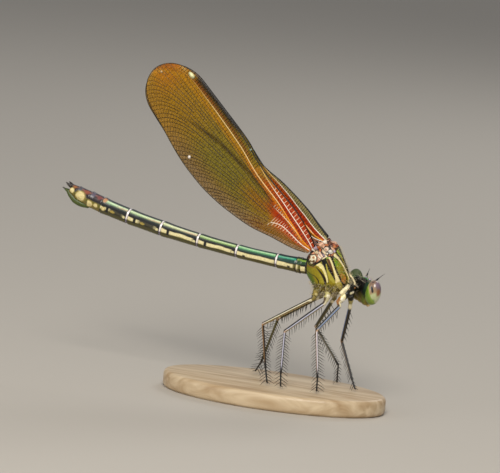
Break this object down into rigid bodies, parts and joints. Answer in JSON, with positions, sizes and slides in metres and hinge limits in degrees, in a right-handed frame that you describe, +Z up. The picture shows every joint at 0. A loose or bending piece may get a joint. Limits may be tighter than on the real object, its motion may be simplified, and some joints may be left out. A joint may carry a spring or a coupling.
{
  "type": "damselfly model",
  "caption": "Life-size female damselfly standing with its wings closed over its back, on a flat oval base.",
  "frame": {"origin": "centre of the base's underside, where the model rests", "axes": "+X towards the head, +Y to the animal's left, +Z up"},
  "size_m": [0.0417, 0.015, 0.0375],
  "materials": {
    "thorax": "satin cuticle, olive, bronze-green and cream stripes with dark seams",
    "head": "satin dark green cuticle with fine pale hairs",
    "eye": "polished compound eye, brown cap over pale green",
    "antenna": "dark, thread-like",
    "abdomen": "metallic green and copper back, cream side stripe and pale rings",
    "tail": "olive-brown, dull",
    "wing": "thin amber membrane, orange-red at the base, with cream, gold and dark veins",
    "leg": "blue-black and tan with pale lines and fine dark bristles",
    "base": "plain pale close-grained wood, waxed"
  },
  "bodies": {
    "root": {"abdomen_1": "abdomen", "abdomen_10": "abdomen", "abdomen_2": "abdomen", "abdomen_3": "abdomen", "abdomen_4": "abdomen", "abdomen_5": "abdomen", "abdomen_6": "abdomen", "abdomen_7": "abdomen", "abdomen_8": "abdomen", "abdomen_9": "abdomen", "antenna_left": "antenna", "antenna_right": "antenna", "cercus_left": "tail", "cercus_right": "tail", "eye_left": "eye", "eye_right": "eye", "foreleg_left_femur": "leg", "foreleg_left_tibia": "leg", "foreleg_right_femur": "leg", "foreleg_right_tibia": "leg", "forewing_left": "wing", "forewing_right": "wing", "head": "head", "hindleg_left_femur": "leg", "hindleg_left_tibia": "leg", "hindleg_right_femur": "leg", "hindleg_right_tibia": "leg", "hindwing_left": "wing", "hindwing_right": "wing", "midleg_left_femur": "leg", "midleg_left_tibia": "leg", "midleg_right_femur": "leg", "midleg_right_tibia": "leg", "ovipositor": "tail", "prothorax": "thorax", "stand_base": "base", "thorax": "thorax"}
  },
  "joints": []
}
